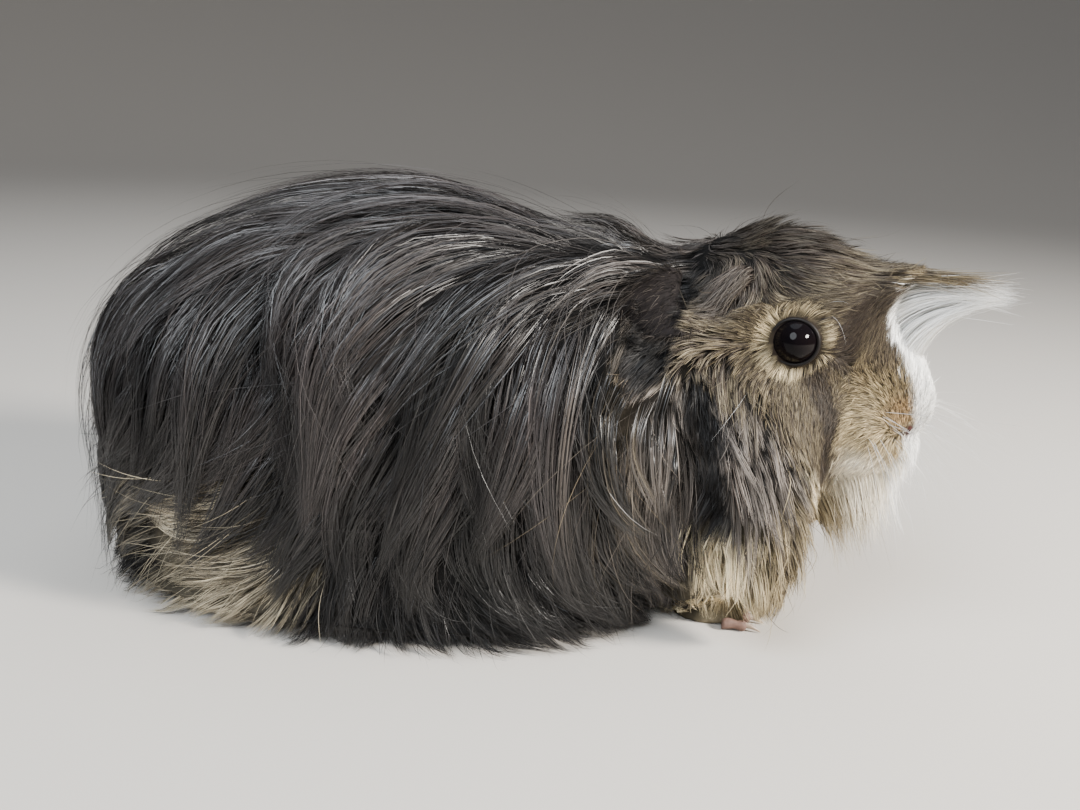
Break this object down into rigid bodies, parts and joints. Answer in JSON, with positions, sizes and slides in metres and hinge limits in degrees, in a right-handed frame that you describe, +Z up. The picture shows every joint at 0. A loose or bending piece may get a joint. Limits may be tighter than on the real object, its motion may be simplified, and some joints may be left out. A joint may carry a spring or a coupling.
{
  "type": "guinea pig",
  "caption": "Life-size museum model of a long-haired guinea pig resting with its long coat reaching the floor and its head turned to its right.",
  "frame": {"origin": "a point of the flat underside of the trunk, on the floor, below the middle of the body's width", "axes": "+X from the rump towards the nose, +Y towards the animal's left, +Z up"},
  "size_m": [0.2409, 0.106, 0.1168],
  "materials": {
    "dark_coat": "long silky hair",
    "face_coat": "short ticked fur",
    "pale_coat": "soft cream hair",
    "bare_skin": "matte thin skin",
    "eye": "wet gloss",
    "foot": "short fur and bare toes with horn claws"
  },
  "bodies": {
    "root": {"head": "face_coat", "chest": "pale_coat", "neck": "dark_coat", "trunk": "dark_coat", "rump": "dark_coat", "forelock": "pale_coat", "ear_left": "bare_skin", "ear_right": "bare_skin", "eye_left": "eye", "eye_right": "eye", "foreleg_left": "foot", "foreleg_right": "foot", "hindleg_left": "foot", "hindleg_right": "foot"}
  },
  "joints": []
}
